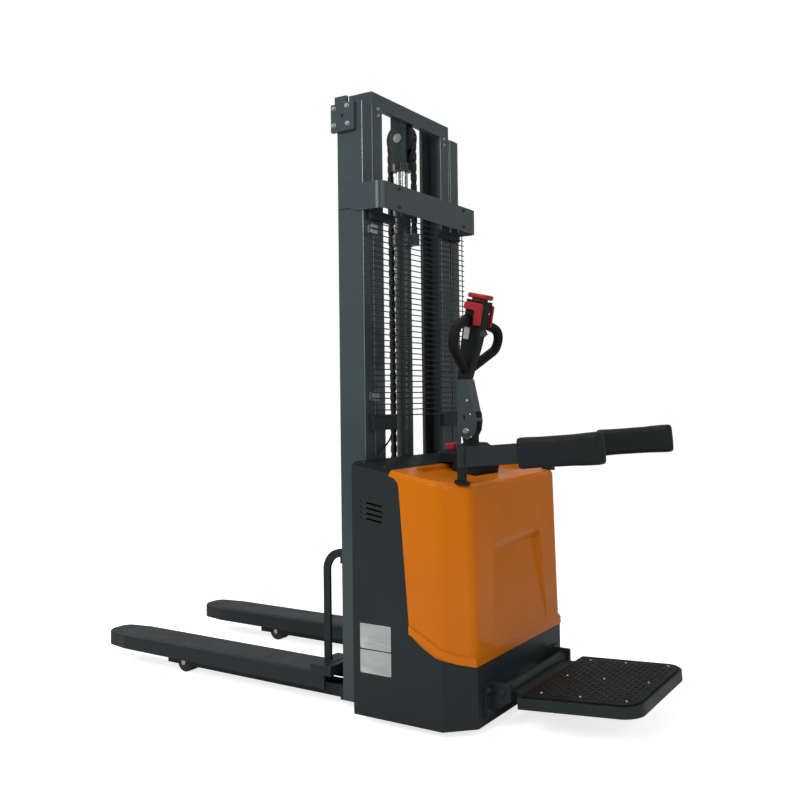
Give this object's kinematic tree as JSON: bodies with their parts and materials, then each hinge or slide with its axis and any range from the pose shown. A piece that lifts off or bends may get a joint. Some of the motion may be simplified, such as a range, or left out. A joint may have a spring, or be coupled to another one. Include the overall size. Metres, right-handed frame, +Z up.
{
  "type": "ride-on electric stacker",
  "caption": "Ride-on electric stacker: telescopic mast with forks over straddle legs, orange drive cover, tiller, padded guard arms and a folding platform.",
  "frame": {"origin": "centre of the bounding box at floor level", "axes": "+X to the truck's right, +Y towards the fork tips, +Z up"},
  "size_m": [0.812, 2.1828, 2.093],
  "materials": {
    "orange_paint": "gloss",
    "charcoal_paint": "satin",
    "black_plastic": "matte",
    "black_rubber": "matte",
    "bare_steel": "satin",
    "chrome_rod": "polished",
    "chain_steel": "oiled",
    "red_plastic": "gloss",
    "grey_plastic": "matte",
    "wheel_polymer": "satin",
    "arm_padding": "satin"
  },
  "bodies": {
    "chassis": {"chassis_frame": "charcoal_paint", "rear_cover": "orange_paint", "top_deck": "black_plastic", "battery_pack": "grey_plastic", "hydraulic_unit": "black_plastic", "motor_controller": "grey_plastic", "outer_mast_left": "charcoal_paint", "outer_mast_right": "charcoal_paint", "mast_base": "charcoal_paint", "mast_band": "charcoal_paint", "mast_guide_blocks": "charcoal_paint", "mesh_guard": "charcoal_paint", "mesh_brackets": "charcoal_paint", "cylinder_barrel": "charcoal_paint", "rear_chain": "chain_steel", "limit_switches": "bare_steel", "switch_cable": "black_rubber", "straddle_leg_left": "charcoal_paint", "straddle_leg_right": "charcoal_paint", "load_axles": "bare_steel", "tiller_console": "black_plastic", "arm_posts": "black_plastic", "platform_bracket": "charcoal_paint"},
    "inner_mast": {"inner_mast_left": "charcoal_paint", "inner_mast_right": "charcoal_paint", "inner_mast_beams": "charcoal_paint", "piston_rod": "chrome_rod", "chain_yoke": "charcoal_paint", "sheave_pin": "bare_steel", "front_chain": "chain_steel"},
    "sheave": {"chain_sheave": "chain_steel"},
    "inner_rollers": {"inner_mast_rollers": "bare_steel"},
    "carriage": {"carriage_frame": "charcoal_paint", "fork_left": "charcoal_paint", "fork_right": "charcoal_paint", "backrest_hoops": "charcoal_paint"},
    "carriage_low_rollers": {"carriage_rollers_low": "bare_steel"},
    "carriage_high_rollers": {"carriage_rollers_high": "bare_steel"},
    "steering": {"drive_unit": "bare_steel", "steering_head": "black_plastic"},
    "drive_wheel": {"drive_wheel": "wheel_polymer"},
    "tiller": {"tiller_arm": "charcoal_paint", "tiller_head": "black_plastic", "tiller_loop": "black_rubber"},
    "belly_button": {"belly_button": "red_plastic"},
    "throttle": {"throttle": "red_plastic"},
    "lift_rocker": {"lift_rocker": "grey_plastic"},
    "emergency_stop": {"emergency_stop": "red_plastic"},
    "guard_left": {"guard_arm_left": "charcoal_paint", "arm_pad_left": "arm_padding"},
    "guard_right": {"guard_arm_right": "charcoal_paint", "arm_pad_right": "arm_padding"},
    "platform": {"platform_deck": "charcoal_paint", "platform_mat": "black_rubber"},
    "castor_left": {"castor_fork_left": "bare_steel"},
    "castor_right": {"castor_fork_right": "bare_steel"},
    "castor_wheel_left": {"castor_wheel_left": "wheel_polymer"},
    "castor_wheel_right": {"castor_wheel_right": "wheel_polymer"},
    "load_roller_left": {"load_roller_left": "wheel_polymer"},
    "load_roller_right": {"load_roller_right": "wheel_polymer"}
  },
  "joints": [
    {"name": "mast_lift", "type": "slide", "parent": "chassis", "child": "inner_mast", "axis": [0, 0, 1], "range_m": [-0.015, 1.435], "deforming": ["rear_chain"]},
    {"name": "carriage_lift", "type": "slide", "parent": "inner_mast", "child": "carriage", "axis": [0, 0, 1], "range_m": [-0.015, 1.435], "deforming": ["front_chain"]},
    {"name": "sheave_spin", "type": "hinge", "parent": "inner_mast", "child": "sheave", "pos_m": [0, -0.15313, 1.993], "axis": [1, 0, 0], "range_deg": [-18, 1646]},
    {"name": "inner_roller_spin", "type": "hinge", "parent": "inner_mast", "child": "inner_rollers", "pos_m": [0, -0.15313, 0.11], "axis": [1, 0, 0], "range_deg": [-24, 2212]},
    {"name": "carriage_low_roller_spin", "type": "hinge", "parent": "carriage", "child": "carriage_low_rollers", "pos_m": [0, -0.15313, 0.18], "axis": [1, 0, 0], "range_deg": [-26, 2338]},
    {"name": "carriage_high_roller_spin", "type": "hinge", "parent": "carriage", "child": "carriage_high_rollers", "pos_m": [0, -0.15313, 0.45], "axis": [1, 0, 0], "range_deg": [-26, 2338]},
    {"name": "steering_turn", "type": "hinge", "parent": "chassis", "child": "steering", "pos_m": [0, -0.44163, 0.3], "axis": [0, 0, 1], "range_deg": [-90, 90]},
    {"name": "drive_wheel_spin", "type": "hinge", "parent": "steering", "child": "drive_wheel", "pos_m": [0, -0.44163, 0.115], "axis": [1, 0, 0], "continuous": true},
    {"name": "tiller_tilt", "type": "hinge", "parent": "steering", "child": "tiller", "pos_m": [0, -0.42163, 0.928], "axis": [1, 0, 0], "range_deg": [0, 75], "stiffness_Nm_per_rad": 60, "springref_deg": -45.84},
    {"name": "belly_button_press", "type": "slide", "parent": "tiller", "child": "belly_button", "axis": [0, 0.225, -0.9744], "range_m": [0, 0.005], "stiffness_N_per_m": 1500, "springref_m": -0.006},
    {"name": "throttle_turn", "type": "hinge", "parent": "tiller", "child": "throttle", "pos_m": [0, -0.46777, 1.3459], "axis": [1, 0, 0], "range_deg": [-12, 12], "stiffness_Nm_per_rad": 0.8},
    {"name": "lift_rocker_tip", "type": "hinge", "parent": "tiller", "child": "lift_rocker", "pos_m": [0, -0.47332, 1.26661], "axis": [1, 0, 0], "range_deg": [-12, 12], "stiffness_Nm_per_rad": 0.5},
    {"name": "emergency_stop_press", "type": "slide", "parent": "chassis", "child": "emergency_stop", "axis": [0, 0, -1], "range_m": [0, 0.006], "stiffness_N_per_m": 800, "springref_m": -0.004},
    {"name": "guard_left_swing", "type": "hinge", "parent": "chassis", "child": "guard_left", "pos_m": [-0.328, -0.56964, 0.86], "axis": [0, 0, 1], "range_deg": [-90, 40]},
    {"name": "guard_right_swing", "type": "hinge", "parent": "chassis", "child": "guard_right", "pos_m": [0.328, -0.56964, 0.86], "axis": [0, 0, 1], "range_deg": [-40, 90]},
    {"name": "platform_fold", "type": "hinge", "parent": "chassis", "child": "platform", "pos_m": [0, -0.65463, 0.122], "axis": [-1, 0, 0], "range_deg": [0, 85]},
    {"name": "castor_swivel_left", "type": "hinge", "parent": "chassis", "child": "castor_left", "pos_m": [-0.29, -0.48163, 0.2], "axis": [0, 0, 1], "continuous": true},
    {"name": "castor_spin_left", "type": "hinge", "parent": "castor_left", "child": "castor_wheel_left", "pos_m": [-0.29, -0.51963, 0.05], "axis": [1, 0, 0], "continuous": true},
    {"name": "load_roller_spin_left", "type": "hinge", "parent": "chassis", "child": "load_roller_left", "pos_m": [-0.2715, 0.67836, 0.037], "axis": [1, 0, 0], "continuous": true},
    {"name": "castor_swivel_right", "type": "hinge", "parent": "chassis", "child": "castor_right", "pos_m": [0.29, -0.48163, 0.2], "axis": [0, 0, 1], "continuous": true},
    {"name": "castor_spin_right", "type": "hinge", "parent": "castor_right", "child": "castor_wheel_right", "pos_m": [0.29, -0.51963, 0.05], "axis": [1, 0, 0], "continuous": true},
    {"name": "load_roller_spin_right", "type": "hinge", "parent": "chassis", "child": "load_roller_right", "pos_m": [0.2715, 0.67836, 0.037], "axis": [1, 0, 0], "continuous": true}
  ],
  "couplings": [
    {"joint": "carriage_lift", "follows": "mast_lift", "ratio": 1},
    {"joint": "sheave_spin", "follows": "mast_lift", "rad_per_m": 20},
    {"joint": "inner_roller_spin", "follows": "mast_lift", "rad_per_m": 26.882},
    {"joint": "carriage_low_roller_spin", "follows": "mast_lift", "rad_per_m": 28.409},
    {"joint": "carriage_high_roller_spin", "follows": "mast_lift", "rad_per_m": 28.409}
  ]
}
